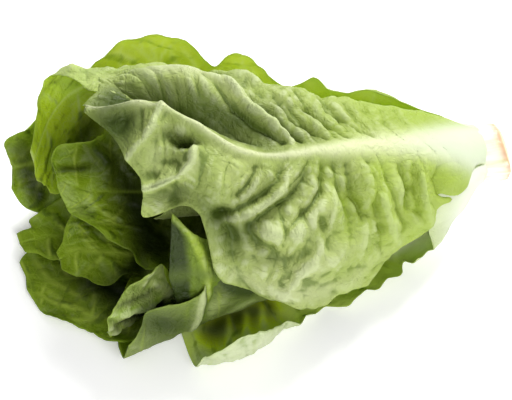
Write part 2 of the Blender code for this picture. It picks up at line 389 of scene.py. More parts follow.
def leafMaterial(name, paint, through):
    g = Graph(name)
    paint = {key: srgb(*value) for key, value in paint.items()}
    where = g.place()
    patches = g.noise(where, leafTexture["patches"], 3.0)
    fine = g.noise(where, leafTexture["smallNet"]).outputs["Fac"]
    warped = g.mix(0.012, where, patches.outputs["Color"], "LINEAR_LIGHT")
    net = g.cellEdges(warped, leafTexture["net"])
    small = g.cellEdges(warped, leafTexture["smallNet"])
    colour = leafColour(g, paint, patches.outputs["Fac"], net, small)
    bump = leafBump(g, warped, net, small, fine)
    rough = g.maths("ADD", g.bySide(*leafTexture["rough"]), g.times(fine, 0.1))
    shader = g.principled(Base_Color=colour, Roughness=rough, Normal=bump,
                          Specular_IOR_Level=g.bySide(*leafTexture["gloss"]))
    glow = g.mix(0.5, colour, paint["young"], "MULTIPLY")
    thin = g.feed(g.node("ShaderNodeBsdfTranslucent"), Color=glow, Normal=bump)
    return g.finish(g.feed(g.node("ShaderNodeMixShader"), i0=through, i1=shader.outputs[0],
                           i2=thin.outputs[0]))


def leafColour(g, paint, patches, net, small):
    side, shade, relief, white = (g.field(key) for key in ("side", "shade", "relief", "white"))
    mottle = g.ramp(patches, 0.35, 0.68, 0.0, leafTexture["mottle"])
    outer = g.mix(mottle, paint["outer"], paint["outerDeep"])
    inner = g.mix(mottle, paint["inner"], paint["innerDeep"])
    # painted light: the blade turns paler where the shade field is above 0
    blade = g.mix(g.maths("MAXIMUM", shade, 0.0), g.mix(side, outer, inner), paint["light"])
    # the net of veins shows more on the inner face
    lines = g.times(g.ramp(net, 0.0, 0.05, 1.0, 0.0), g.bySide(0.25, 0.38))
    lines = g.maths("MAXIMUM", g.field("vein"), lines)
    lines = g.maths("MAXIMUM", lines, g.times(g.ramp(small, 0.0, 0.12, 1.0, 0.0), 0.16))
    blade = g.mix(g.times(lines, g.bySide(0.45, 0.85)), blade, paint["vein"])
    blade = g.mix(g.times(g.field("edge"), 0.55), blade, paint["edge"])
    # crests of the crumples are painted paler as a painted highlight, and their valleys deeper as
    # painted shade
    crest = g.times(g.ramp(relief, 0.1, 1.0, 0.0, 0.65), g.bySide(1.0, 0.25))
    blade = g.mix(crest, blade, paint["crest"])
    crease = g.ramp(relief, -0.1, -1.0, 0.0, 0.7)
    blade = g.mix(crease, blade, g.mix(side, paint["crease"], paint["innerCrease"]))
    # painted shade where the shade field is below 0, then painted shade on the inner face deep
    # between the leaves
    blade = g.mix(g.maths("MAXIMUM", g.times(shade, -1.0), 0.0), blade, paint["dark"])
    blade = g.mix(g.times(g.field("hollow"), side), blade, paint["hollow"])
    blade = g.mix(g.times(g.field("young"), 0.6), blade, paint["young"])
    rib = g.times(g.field("ribness"), g.bySide(1.0, 0.35))
    return g.mix(white, g.mix(rib, blade, paint["rib"]), paint["white"])


def leafBump(g, warped, net, small, fine):
    # Small swellings inside the net, and crinkles; the foot and the inner face are smoother
    height = g.maths("ADD", g.ramp(net, 0.0, 0.3, 0.0, 0.5), g.ramp(small, 0.0, 0.4, 0.0, 0.35))
    height = g.maths("ADD", height, g.times(fine, 0.35))
    crinkle = g.noise(warped, leafTexture["crinkles"], distortion=0.6).outputs["Fac"]
    height = g.maths("ADD", height, g.times(crinkle, 1.2))
    height = g.times(height, g.ramp(g.field("white"), 0.0, 1.0, 1.0, 0.15))
    return g.bump(g.times(height, g.bySide(1.0, 0.35)), *leafTexture["bump"])


# The leaves' feet close on the stem, so its sizes come before them
stem = {
    "node": "stem_core", "around": 96, "along": 72, "cutEnd": 0.30,
    "cut": (0.010, 0.016, 0.006),      # where the cut lies: its middle, top and bottom
    "shares": (0.0, 0.01, 0.05, 0.09, 0.16, 0.30, 0.42),
    "radii": (16.0, 16.6, 14.8, 15.6, 16.0, 11.0, 0.0),       # millimetres at those shares
    "flutes": ((5, 0.5), (9, 0.3), (23, 0.12)),               # how many, how high
    "flesh": ((228, 232, 212), (206, 218, 170)),
    "cutFlesh": ((222, 220, 188), (184, 180, 140)),
    "rim": (186, 118, 66), "rimStrength": 0.7,
}


def stemMaterial(name, stem):
    g = Graph(name)
    long = g.feed(g.node("ShaderNodeMapping"), Vector=g.place(), Scale=(18.0, 260.0, 260.0))
    streak = g.noise(long.outputs[0], 1.0, 3.0).outputs["Fac"]
    blot = g.noise(g.place(), 210.0, 3.0).outputs["Fac"]
    flesh = g.mix(g.ramp(streak, 0.42, 0.72), *(srgb(*c) for c in stem["flesh"]))
    cut = g.mix(blot, *(srgb(*c) for c in stem["cutFlesh"]))
    flesh = g.mix(g.field("cut"), flesh, cut)
    brown = g.times(g.field("rim"), g.ramp(blot, 0.25, 0.5))
    flesh = g.mix(g.times(brown, stem["rimStrength"]), flesh, srgb(*stem["rim"]))
    return g.finish(g.principled(Base_Color=flesh, Roughness=0.42,
                                 Normal=g.bump(streak, 0.3, 0.0005)))


def growStem(name, stem):
    # A closed ball of rings, its first rings laid over the cut and the rest along the stem
    bm = bmesh.new()
    bmesh.ops.create_uvsphere(bm, u_segments=stem["around"], v_segments=stem["along"], radius=1)
    marks = {"rim": [], "cut": []}
    rimAt, end = stem["cutEnd"], stem["shares"][-1]
    middle, top, bottom = stem["cut"]
    for vert in bm.verts:
        down = np.arccos(np.clip(vert.co.z, -1, 1)) / pi       # 0 at the cut's middle
        turn = np.arctan2(vert.co.y, vert.co.x)
        flute = sum(high * np.sin(count * turn + count * count) for count, high in stem["flutes"])
        flat = min(down / rimAt, 1)
        back = max((down - rimAt) / (1 - rimAt), 0) ** 1.3 * end
        spread = np.interp(back, stem["shares"], stem["radii"]) + flute * ease(0.2, 1, flat)
        radius = spread * np.sin(flat * pi / 2) ** 0.75
        ring = 0.35 * np.sin(flat * 21 + 2 * np.sin(turn * 2)) * (1 - flat)
        lean = max(np.sin(turn), 0) * top + max(-np.sin(turn), 0) * bottom
        start = middle + lean * flat**2
        share = start + back * (1 - start / end) - 0.003 * (1 - flat**2)
        place = toWorld(np.array(share), np.degrees(turn), np.array((radius + ring * 0.2) * mm))
        vert.co = Vector(place) + Vector((ring * mm, 0, 0))
        marks["rim"].append(float(bell(down - rimAt, 0.045)))
        marks["cut"].append(float(1 - ease(rimAt * 0.9, rimAt * 1.02, down)))
    bmesh.ops.recalc_face_normals(bm, faces=bm.faces)
    mesh = bpy.data.meshes.new(name)
    bm.to_mesh(mesh)
    bm.free()
    for key, values in marks.items():
        mesh.attributes.new(key, "FLOAT", "POINT").data.foreach_set("value", values)
    mesh.shade_smooth()
    print("stem", name, len(mesh.polygons))
    addPiece(name, mesh, stemMaterial("stemFlesh", stem), stem["node"])


# What a leaf has unless its own dictionary says otherwise. Lines are of (share, angle), and
# widths and heights are millimetres
plainLeaf = {
    "rows": 70, "columns": 50, "seed": 1,
    "ahead": 0.8,                   # under 1 the margins run ahead of the midrib
    "lobes": 0.02,                  # how wavy the outline is
    "insets": ((0, 1), (0, 0)),     # shares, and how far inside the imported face
    "tight": (0.1, 0.36),           # tight on the head up to the first share, loose past the other
    "crumple": 1.0, "fine": 1.0,    # strength of all crinkles, and of the small ones
    "calm": [],                     # smoother spots: share, angle, size
    "laterals": 9, "stray": 0.25, "groove": 0.6,      # side veins: count, wander, depth
    "pleat": 0.6, "ruffle": 2.0,
    "creases": [],                  # line, width, heights along it, sharpness
    # the second number says how much painted shade a crease's valley takes and painted light its
    # ridge
    "depth": 1.0, "foldShading": 0.1,      # how high and how dark the creases are
    # shades are painted shade where the amount is below 0 and painted light where it is above 0
    "shades": [],                   # line, width, amounts along it: -1 dark, 1 pale
    "veins": [],                    # line, width
    "bends": [],                    # two points, slope past their line, softness
    "ribWide": (12, 1.4),           # at the foot, at the tip
    "ribHigh": 2.6,
    # hollow: how much painted shade the inner face takes deep in the head
    "white": 0.075, "hollow": 0.85, "through": 0.42, "paint": {},
}
pleatSizes = ((11, 60, 2.4, 2), (5.5, 34, 0.9, 7))      # size, length, height, seed
crinkleSizes = ((34, 5.0, 11), (17, 2.8, 12))           # size, height, seed
fineSizes = ((9, 0.9, 13), (4.5, 0.35, 14))
domeSizes = ((8, 0.5, 15), (4, 0.24, 16))


def layOut(leaf):
    # The leaf at rest: a grid of places between its margins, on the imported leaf's surface
    packed = packedLeaf(leaf["node"])
    u = np.linspace(0, 1, leaf["rows"])
    v = np.linspace(-1, 1, leaf["columns"])
    v = (v * (0.7 + 0.3 * np.abs(v)))[None, :]        # closer together by the midrib
    own = dict(zip(("low", "rib", "high"), packedOutline(packed)))
    own.update({key: turnTo(leaf[key], packed.centre) for key in own if key in leaf})
    low, rib, high = own["low"], own["rib"], own["high"]
    if "low" in leaf and len(low) == len(rib) == len(high):
        keys = np.linspace(0, 1, len(low))
        low, rib, high = (smoothCurve(keys, line, u) for line in (low, rib, high))
    else:
        ahead = u ** leaf["ahead"]
        low, high = alongLine(low, ahead * 0.975), alongLine(high, ahead * 0.975)
        rib = alongLine(rib, u * 0.985)
    low, rib, high = (line[:, None, :] for line in (low, rib, high))
    wave = 1 + leaf["lobes"] * flatNoise(u * 14, u * 0 + 3.3, leaf["seed"])[:, None, None]
    out = v[..., None]
    place = np.where(out < 0, rib + (low - rib) * -out * wave, rib + (high - rib) * out * wave)
    share, angle = place[..., 0], place[..., 1]
    radius = shellOf(packed)(share, angle) - 0.45 * mm
    radius -= np.interp(share, *leaf["insets"]) * mm
    hold = 1 - ease(0.05, 0.125, share)       # a leaf's foot closes on the stem
    radius += (np.interp(share, stem["shares"], stem["radii"]) * mm - radius) * hold
    rest = toWorld(share, angle, radius)

    # Lengths on the sheet: across from the midrib, along it, and in from the margins
    across = lengthAlong(rest, 1)
    middle = leaf["columns"] // 2
    ribLength = lengthAlong(rest[:, middle], 0)[:, None]
    margin = np.minimum(across, across[:, -1:] - across)
    margin = np.minimum(margin, ribLength[-1] - ribLength + 2 * mm)
    x = share * headLength
    return SimpleNamespace(
        centre=packed.centre, u=u[:, None], v=v, share=share, angle=angle, hold=hold, rest=rest,
        x=x, y=across - across[:, middle:middle + 1], ribLength=ribLength, margin=margin,
        reach=np.abs(v) + 0 * x, loose=ease(*leaf["tight"], share))


def noiseOver(sheet, along, across, seed):
    # Noise with cells of so many millimetres along the leaf and across it
    return flatNoise(sheet.x / (along * mm), sheet.y / (across * mm), seed)


def crumple(leaf, sheet):
    # Side veins leave the midrib, and the sheet is pleated between them
    y, seed, reach = sheet.y, leaf["seed"], sheet.reach
    bend = noiseOver(sheet, 30, 40, seed + 1) * leaf["stray"]
    lanes = sheet.u * leaf["laterals"]
    sheet.lane = np.abs((lanes + bend + (sheet.v > 0) * 0.5) % 1 - 0.5) * 2      # 1 on a vein
    sheet.fade = ease(0.0, 0.12, reach) * (1 - ease(0.75, 1.0, reach))
    strength = leaf["crumple"] * sheet.loose
    groove = leaf["groove"] * (0.6 + 0.6 * flatNoise(lanes, y / (25 * mm), seed + 8))
    offset = -groove * mm * sheet.lane**4 * sheet.fade * strength
    pleatFade = ease(0.02, 0.16, reach) * (1 - ease(0.55, 0.95, reach))
    for size, length, height, more in pleatSizes:
        run = (sheet.ribLength + 0.25 * bend * 30 * mm) / (size * mm)
        folds = np.abs(flatNoise(run, y / (length * mm), seed + more)) ** 0.85
        offset += (folds - 0.3) * leaf["pleat"] * height * mm * pleatFade * strength

    # Crinkles of several sizes, sharp in their valleys, and blisters between the small veins
    for share, angle, size in leaf["calm"]:
        gap = np.hypot((sheet.share - share) * headLength,
                       np.radians(sheet.angle - nearest(angle, sheet.centre)) * sheetReach)
        strength = strength * (1 - 0.85 * np.exp(-(gap / (size * mm)) ** 4))
    strength = strength * (1 - 0.9 * bell(y, 7 * mm))
    warpX = sheet.x + noiseOver(sheet, 22, 22, seed + 41) * 5 * mm
    warpY = y + noiseOver(sheet, 22, 22, seed + 42) * 5 * mm
    fine = tuple((size, height * leaf["fine"], more) for size, height, more in fineSizes)
    for size, height, more in crinkleSizes + fine:
        wrinkle = np.abs(flatNoise(warpX / (size * mm), warpY / (size * mm), seed + more))
        offset += (wrinkle - 0.25) * height * mm * strength
    for size, height, more in domeSizes:
        dome = blisters(warpX / (size * mm), warpY / (size * mm), seed + more)
        offset += (dome - 0.5) * height * mm * strength
    ruffle = noiseOver(sheet, 13, 50, seed + 5) * np.exp(-sheet.margin / (7 * mm))
    sheet.offset = offset + ruffle * leaf["ruffle"] * mm * sheet.loose


def nearLine(sheet, line, width, power=2):
    # 1 on a line over the sheet and 0 away from it, and how far along it each place is
    away, along = lineDistance(sheet.x, np.radians(sheet.angle) * sheetReach,
                               toFlat(*turnTo(line, sheet.centre).T))
    return np.exp(-(away / (width * mm)) ** power), along


def foldByName(leaf, sheet):
    # The folds, the painted shade and painted light, and the veins that a leaf's dictionary names
    def between(values, along):
        return np.interp(along, np.linspace(0, 1, len(values)), values)
    sheet.shade = np.zeros(sheet.x.shape)
    for line, width, heights, power in leaf["creases"]:
        near, along = nearLine(sheet, line, width, power)
        fold = between(heights, along) * leaf["depth"] * near
        sheet.offset += fold * mm
        # a fold's ridge takes painted light and its valley painted shade
        sheet.shade += np.clip(fold, -5, 3) * leaf["foldShading"]
    for line, width, amounts in leaf["shades"]:
        near, along = nearLine(sheet, line, width)
        sheet.shade += between(amounts, along) * near
    sheet.drawn = np.zeros(sheet.x.shape)
    for line, width in leaf["veins"]:
        near, along = nearLine(sheet, line, width)
        sheet.drawn = np.maximum(sheet.drawn, (1 - 0.45 * along) * near)
    sheet.offset -= 0.5 * mm * sheet.drawn
    for line, slope, soft in leaf["bends"]:
        a, b = toFlat(*turnTo(line, sheet.centre).T)
        way = (b - a) / np.linalg.norm(b - a)
        y = np.radians(sheet.angle) * sheetReach
        away = (sheet.x - a[0]) * way[1] - (y - a[1]) * way[0]
        sheet.offset += slope * soft * mm * np.logaddexp(0, away / (soft * mm))


def thicken(leaf, sheet):
    # The folded sheet, kept off the floor, then a stout midrib at the foot, fine side veins
    # and thin margins
    place = sheet.rest + normalsOf(sheet.rest) * sheet.offset[..., None]
    floor = cadBox[0].z + 0.6 * mm
    place[..., 2] = floor + np.logaddexp(0, (place[..., 2] - floor) / (1.2 * mm)) * 1.2 * mm
    normal = normalsOf(place)
    wide, slim = leaf["ribWide"]
    sheet.ribWide = (slim + (wide - slim) * (1 - ease(0.0, 0.7, sheet.u))) * mm
    ribHigh = leaf["ribHigh"] * (1 - 0.9 * ease(0.1, 1.0, sheet.u)) * mm
    ribHigh = ribHigh * bell(sheet.y, sheet.ribWide)
    lines = ease(0.88, 1.0, sheet.lane) * sheet.fade * ease(0.1, 0.3, sheet.share)
    sheet.vein = np.maximum(lines, sheet.drawn)
    thick = (0.55 + 0.5 * (1 - sheet.loose)) * (0.25 + 0.75 * ease(0, 1.5 * mm, sheet.margin))
    half = thick * mm / 2
    proud = ribHigh * (1 - 0.85 * sheet.hold) + sheet.vein * 0.4 * mm
    outer = place + normal * (half + proud)[..., None]
    inner = place - normal * half[..., None]
    for face in (outer, inner):
        face[..., 2] = np.maximum(face[..., 2], cadBox[0].z)
    return outer, inner


def leafFields(leaf, sheet):
    # What the leaf's material reads at each point
    soft = sheet.offset.copy()
    for repeat in range(10):
        soft[1:-1, 1:-1] = (soft[:-2, 1:-1] + soft[2:, 1:-1] + soft[1:-1, :-2]
                            + soft[1:-1, 2:] + soft[1:-1, 1:-1]) / 5
    whiteEnd = leaf["white"] + 0.17 * bell(sheet.y, 14 * mm)
    return {
        "white": 1 - ease(whiteEnd - 0.11, whiteEnd + 0.07, sheet.share),
        "young": 1 - ease(0.15, 0.55, sheet.share + 0.1 * noiseOver(sheet, 20, 20, 9)),
        "ribness": bell(sheet.y, sheet.ribWide * 0.8) * (1 - 0.5 * sheet.u),
        "edge": np.exp(-sheet.margin / (1.6 * mm)) * sheet.loose,
        "vein": sheet.vein,
        "relief": np.clip((sheet.offset - soft) / (0.8 * mm), -1, 1),     # crests above 0
        # painted light and painted shade along named lines, and painted shade deep in the head
        "shade": np.clip(sheet.shade, -1, 1),
        "hollow": leaf["hollow"] * (1 - ease(0.56, 0.80, sheet.share)),
    }


def growLeaf(name, leaf):
    leaf = {**plainLeaf, **leaf}
    sheet = layOut(leaf)
    crumple(leaf, sheet)
    foldByName(leaf, sheet)
    outer, inner = thicken(leaf, sheet)
    mesh = slabMesh(name, outer, inner, leafFields(leaf, sheet))
    material = leafMaterial(name + "Leaf", {**leafPaint, **leaf["paint"]}, leaf["through"])
    print("leaf", name, len(mesh.polygons))
    addPiece(name, mesh, material, leaf["node"])


frontLeaf = {
    "node": "outer_leaf_front", "rows": 270, "columns": 170, "seed": 3, "lobes": 0.0,
    "laterals": 19, "stray": 0.9, "groove": 2.2, "pleat": 0.8, "crumple": 0.85, "depth": 1.5,
    "ribWide": (12, 2.0), "tight": (0.06, 0.30), "fine": 1.5,
    # its own colours for painted shade, painted crease shade and painted crest highlight
    "paint": {"dark": (74, 94, 22), "young": (178, 206, 40),
              "crease": (96, 122, 30), "crest": (228, 238, 184)},
    "low": [(0.066, 30), (0.092, 30), (0.118, 14), (0.160, 10), (0.192, 9), (0.213, -8),
            (0.290, -12), (0.345, -19), (0.415, -12), (0.487, -15), (0.560, -11),
            (0.620, -7), (0.652, 2), (0.663, 20), (0.672, 33), (0.700, 36), (0.765, 28),
            (0.757, 49), (0.775, 67), (0.800, 90), (0.832, 106)],
    "rib": [(0.058, 56), (0.096, 59), (0.140, 60), (0.185, 60), (0.225, 60), (0.262, 60),
            (0.300, 60), (0.335, 59.5), (0.365, 59), (0.393, 58), (0.425, 58), (0.462, 57),
            (0.500, 57), (0.540, 58.5), (0.580, 62), (0.618, 70), (0.650, 79), (0.680, 87),
            (0.720, 95), (0.765, 102), (0.825, 109)],
    "high": [(0.060, 116), (0.092, 112), (0.140, 108), (0.195, 106), (0.245, 106),
             (0.290, 107), (0.330, 112), (0.375, 109), (0.42, 110), (0.47, 112),
             (0.515, 115), (0.56, 119), (0.605, 122), (0.645, 124), (0.685, 129),
             (0.724, 137), (0.762, 140), (0.779, 137), (0.787, 131), (0.798, 121),
             (0.829, 111)],
    "creases": [
        ([(0.690, 93), (0.74, 98), (0.79, 103), (0.83, 107)], 3, (1, 4, 4, 1), 1.3),
        ([(0.475, 62), (0.512, 66), (0.545, 73), (0.587, 82), (0.629, 89), (0.662, 97),
          (0.691, 105), (0.733, 113), (0.766, 119)],
         8, (0, -4, -8, -10, -12, -12, -12, -9, -4), 2),
        ([(0.50, 96), (0.55, 99), (0.595, 102), (0.649, 108), (0.699, 114), (0.745, 121)],
         8, (0, 2, 3, 3, 3, 1), 2),
        ([(0.554, 60), (0.599, 65), (0.62, 71), (0.637, 76), (0.662, 81), (0.695, 91)],
         3, (1, 2, 2, 3, 3, 2), 1.4),
        ([(0.695, 91), (0.724, 81), (0.754, 75), (0.783, 69)], 3.5, (3, 3, 2.5, 2), 1.2),
        ([(0.658, 65), (0.666, 58), (0.691, 53), (0.729, 50), (0.754, 49)], 2.6,
         (7, 7, 5, 4, 2), 1.2),
        ([(0.695, 76), (0.679, 71), (0.662, 69), (0.654, 68)], 4, (-4, -9, -9, -4), 2),
        ([(0.725, 70), (0.72, 62), (0.735, 57)], 7, (-2, -4, -2), 2),
        ([(0.72, 42), (0.71, 40), (0.70, 44)], 6, (-2, -3, -2), 2),
        ([(0.495, 54), (0.512, 45), (0.541, 40), (0.579, 35), (0.608, 32), (0.641, 31)],
         3.6, (-1, -3, -4, -4, -4, -3), 1.4),
        ([(0.49, 50), (0.505, 41), (0.535, 35.5), (0.579, 30), (0.63, 27)],
         3.4, (2, 3, 3.5, 3, 1), 1.4),
        ([(0.45, 51), (0.466, 44), (0.495, 37), (0.537, 32), (0.579, 25)], 3.4,
         (-2, -4, -5, -5, -3), 1.3),
        ([(0.396, 51), (0.396, 36), (0.391, 27)], 3, (-2, -3.5, -1), 1.4),
        ([(0.371, 50), (0.371, 38), (0.358, 27), (0.358, 16)], 3, (-2, -3, -3, -1), 1.4),
        ([(0.325, 46), (0.321, 28), (0.304, 8), (0.287, -4)], 3, (1, 2.4, 2.4, 1.5), 1.4),
        ([(0.408, 37), (0.433, 20), (0.479, 8), (0.533, -7)], 3, (1, 2, 2.4, 2), 1.4),
        ([(0.454, 65), (0.47, 79), (0.491, 90), (0.52, 98)], 3.6, (-2, -4, -3, -1), 1.4),
        ([(0.416, 65), (0.429, 79), (0.445, 90), (0.466, 97)], 3.2, (-2, -3.5, -3, -1), 1.4),
        ([(0.379, 68), (0.396, 82), (0.416, 90), (0.433, 94)], 3, (-1.5, -3, -3, -1), 1.4),
        ([(0.346, 73), (0.358, 86), (0.379, 94)], 3, (-1.5, -3, -1), 1.4),
        ([(0.312, 76), (0.325, 92), (0.333, 104)], 3, (-1, -2.5, -2), 1.4),
        ([(0.379, 30), (0.383, 23), (0.391, 14)], 4, (-2, -3, -1), 2),
        ([(0.321, 24), (0.321, 12), (0.329, 4)], 4, (-1.5, -3, -1.5), 2),
        ([(0.583, 27), (0.575, 18), (0.55, 13)], 5, (-3, -4, -2), 2),
        ([(0.629, 31), (0.616, 18), (0.624, 11)], 5, (-3, -5, -3), 2),
        ([(0.445, 24), (0.445, 17)], 4, (-2, -2), 2),
        ([(0.55, 52), (0.57, 45), (0.595, 40)], 2.2, (-1.5, -3, -2), 1.4),
        ([(0.42, 50), (0.433, 38), (0.466, 30), (0.516, 22)], 2.4, (-2, -4, -4, -2), 1.4),
        ([(0.329, 50), (0.321, 33), (0.333, 20)], 2.4, (-1.5, -3, -1.5), 1.4),
        ([(0.266, 48), (0.25, 29), (0.262, 15)], 2.2, (-1, -2.4, -1.5), 1.4),
        ([(0.699, 114), (0.641, 92), (0.579, 76), (0.529, 66)], 2.4, (-1, -3, -3, -2), 1.4),
        ([(0.608, 108), (0.55, 88), (0.483, 66)], 2.6, (-2, -4, -3), 1.4),
        ([(0.575, 106), (0.525, 86), (0.465, 66)], 2.6, (1, 3, 2), 1.4),
        ([(0.541, 104), (0.495, 84), (0.445, 66)], 2.4, (-2, -4, -3), 1.4),
        ([(0.479, 102), (0.441, 79), (0.396, 66)], 2.4, (-1.5, -3.5, -2), 1.4),
        ([(0.43, 104), (0.40, 84), (0.352, 66)], 2.2, (-1.5, -3, -2), 1.4),
        ([(0.38, 104), (0.35, 86), (0.305, 66)], 2.2, (-1, -2.4, -1.5), 1.4),
        ([(0.72, 128), (0.66, 118), (0.60, 108), (0.54, 96)], 4.5, (1, 2.2, 2.4, 1), 1.6),
        ([(0.69, 132), (0.62, 124), (0.55, 112), (0.49, 98)], 4.5, (-1, -2.4, -2.4, -1), 1.6),
        ([(0.65, 133), (0.59, 126), (0.52, 114), (0.45, 96)], 4, (1, 2, 2.4, 1), 1.6),
        ([(0.45, 30), (0.50, 22), (0.56, 20)], 6, (2, 3, 1.5), 1.8),
        ([(0.36, 14), (0.42, 8), (0.50, 4)], 6, (1.5, 2.6, 1.5), 1.8),
        ([(0.47, 12), (0.53, 8), (0.60, 10)], 4, (-1.5, -2.6, -1.5), 1.6),
        ([(0.183, 42), (0.196, 32), (0.187, 19), (0.15, 11)], 2.2, (-1, -1.8, -1.8, -1), 1.4),
        ([(0.212, 50), (0.225, 34), (0.222, 16), (0.21, 2)], 2.4, (1, 1.6, 1.6, 1), 1.4),
        ([(0.235, 46), (0.24, 30), (0.235, 12)], 2.2, (-1, -1.8, -1.2), 1.4),
        ([(0.30, 40), (0.285, 24), (0.27, 4)], 2.4, (-1, -2, -1.2), 1.4),
    ],
    "veins": [([(0.245, 60), (0.215, 42), (0.21, 22), (0.205, 8)], 2.1),
              ([(0.205, 60), (0.17, 44), (0.158, 28)], 2.0)],
    "bends": [([(0.783, 66), (0.695, 93)], -0.15, 1.2)],
    # painted shade along the long valley and on the folded tip, painted light on the paler facets
    # and bands
    "shades": [
        ([(0.50, 76), (0.55, 84), (0.60, 92), (0.65, 101), (0.70, 110), (0.75, 118)], 8,
         (-0.05, -0.25, -0.35, -0.35, -0.3, -0.1)),
        ([(0.765, 80), (0.778, 92), (0.79, 104)], 15, (-0.8, -1.1, -1.0)),
        ([(0.150, 22), (0.212, 7), (0.283, -1)], 6, (0.3, 0.3, 0.3)),
        ([(0.745, 76), (0.729, 67), (0.712, 58)], 7, (0.35, 0.5, 0.3)),
        ([(0.73, 122), (0.68, 119), (0.633, 115), (0.579, 111), (0.53, 106)], 6,
         (0.2, 0.6, 0.55, 0.4, 0.3)),
        ([(0.70, 46), (0.735, 42)], 7, (-0.5, -0.4)),
        ([(0.725, 70), (0.735, 60)], 6, (0.4, 0.4)),
        ([(0.62, -1), (0.537, -7), (0.462, -7), (0.375, -9), (0.316, -6)], 5,
         (0.4, 0.5, 0.5, 0.5, 0.2)),
        ([(0.658, 37), (0.645, 28), (0.637, 19), (0.591, 22)], 6, (-0.5, -0.5, -0.4, -0.3)),
    ],
    "calm": [(0.775, 92, 22), (0.20, 70, 20), (0.72, 44, 8), (0.69, 122, 16), (0.63, 112, 12),
             (0.57, 100, 9), (0.73, 68, 9)],
}
growLeaf("frontLeaf", frontLeaf)

topLeaf = {
    "node": "outer_leaf_back", "rows": 170, "columns": 110, "seed": 21, "ahead": 1.0,
    "low": [(0.065, 172), (0.09, 158), (0.134, 147), (0.19, 146), (0.257, 146), (0.296, 150),
            (0.335, 150), (0.350, 158), (0.379, 172), (0.403, 180), (0.424, 178),
            (0.446, 170), (0.470, 162), (0.497, 160), (0.513, 168), (0.533, 177),
            (0.549, 174), (0.573, 167), (0.60, 159), (0.632, 156), (0.659, 158),
            (0.687, 162), (0.719, 167), (0.75, 171), (0.79, 180), (0.815, 192)],
    "rib": [(0.065, 202), (0.2, 200), (0.36, 198), (0.5, 198), (0.65, 198), (0.75, 197),
            (0.818, 196)],
    "high": [(0.065, 232), (0.12, 236), (0.217, 240), (0.36, 248), (0.48, 250), (0.60, 250),
             (0.68, 245), (0.745, 235), (0.79, 220), (0.815, 202)],
    "crumple": 0.5,
    "creases": [([(0.335, 158), (0.375, 164), (0.42, 166), (0.45, 160)], 9, (2, 8, 7, 2), 2),
                ([(0.20, 148), (0.25, 150), (0.30, 150)], 8, (2, 6, 3), 2)],
    "veins": [
        ([(0.640, -176), (0.652, -188), (0.659, -197)], 1.7),
        ([(0.640, -178), (0.671, -186), (0.691, -191)], 1.7),
        ([(0.600, -176), (0.612, -185), (0.62, -193)], 1.7),
        ([(0.565, -176), (0.576, -185), (0.592, -190)], 1.6),
        ([(0.690, -182), (0.723, -188), (0.738, -188)], 1.6),
        ([(0.652, -188), (0.636, -193), (0.630, -198)], 1.2),
        ([(0.671, -186), (0.676, -194), (0.672, -199)], 1.2),
        ([(0.47, -176), (0.482, -184), (0.494, -190)], 1.6),
        ([(0.45, -176), (0.462, -185), (0.47, -190)], 1.4)],
    # painted light: the inner face is painted nearly white-yellow, standing for light shining
    # through the leaf from behind
    "paint": {"inner": (255, 255, 132), "innerDeep": (246, 248, 92),
              "innerCrease": (200, 216, 60), "vein": (255, 255, 205)},
    "through": 0.6,
    "hollow": 0.0,
}
growLeaf("topLeaf", topLeaf)

underLeaf = {
    "node": "outer_leaf_underneath", "rows": 170, "columns": 110, "seed": 22, "white": 0.2,
    "low": [(0.065, -73), (0.144, -105), (0.258, -108), (0.382, -107), (0.507, -106),
            (0.62, -103), (0.68, -85), (0.714, -62), (0.726, -43)],
    "rib": [(0.065, -37), (0.144, -59), (0.258, -61), (0.382, -59), (0.507, -60),
            (0.62, -60), (0.714, -48), (0.726, -43)],
    "high": [(0.065, 26), (0.13, 28), (0.18, 22), (0.202, 6), (0.212, -12), (0.222, -32),
             (0.232, -30), (0.245, -27), (0.262, -39), (0.295, -28), (0.33, -31), (0.36, -29),
             (0.40, -31), (0.44, -36), (0.48, -31), (0.53, -28), (0.60, -16), (0.66, -18),
             (0.70, -24), (0.72, -34)],
    "creases": [([(0.08, 10), (0.16, 6)], 14, (1.5, 3), 2),
                ([(0.20, -28), (0.30, -27), (0.42, -27), (0.50, -33), (0.57, -40), (0.67, -42)],
                 11, (7, 10, 8, 8, 9, 5), 2)],
    # painted light on the tip and the turned strip, painted shade in the wedge under the folded
    # leaf, thin painted light bands across it
    "shades": [([(0.69, -30), (0.715, -45)], 7, (0.9, 1)),
               ([(0.70, -21), (0.63, -20), (0.56, -20)], 6, (0.9, 0.9, 0.9)),
               ([(0.71, -40), (0.648, -42.5), (0.60, -43.5), (0.54, -44)], 5.5,
                (-0.8, -1.2, -1.2, -1)),
               ([(0.635, -37), (0.622, -43)], 1.8, (0.7, 0.5)),
               ([(0.600, -38), (0.587, -43)], 1.8, (0.7, 0.5)),
               ([(0.565, -39), (0.552, -44)], 1.8, (0.7, 0.5))],
    "veins": [([(0.687, -44), (0.631, -40), (0.569, -34)], 1.8),
              ([(0.66, -48), (0.60, -46), (0.52, -40)], 1.8)],
    "ruffle": 5.0, "hollow": 0.1, "crumple": 0.8,
    # its own colours for painted light, painted shade and painted shade deep between the leaves
    "paint": {"light": (226, 234, 196), "outer": (240, 244, 214),
              "outerDeep": (214, 226, 178), "crease": (176, 196, 120),
              "innerCrease": (130, 160, 14),
              "inner": (226, 246, 50), "innerDeep": (196, 222, 16),
              "dark": (40, 54, 12),
              "white": (250, 252, 242), "hollow": (66, 86, 18)},
}
growLeaf("underLeaf", underLeaf)
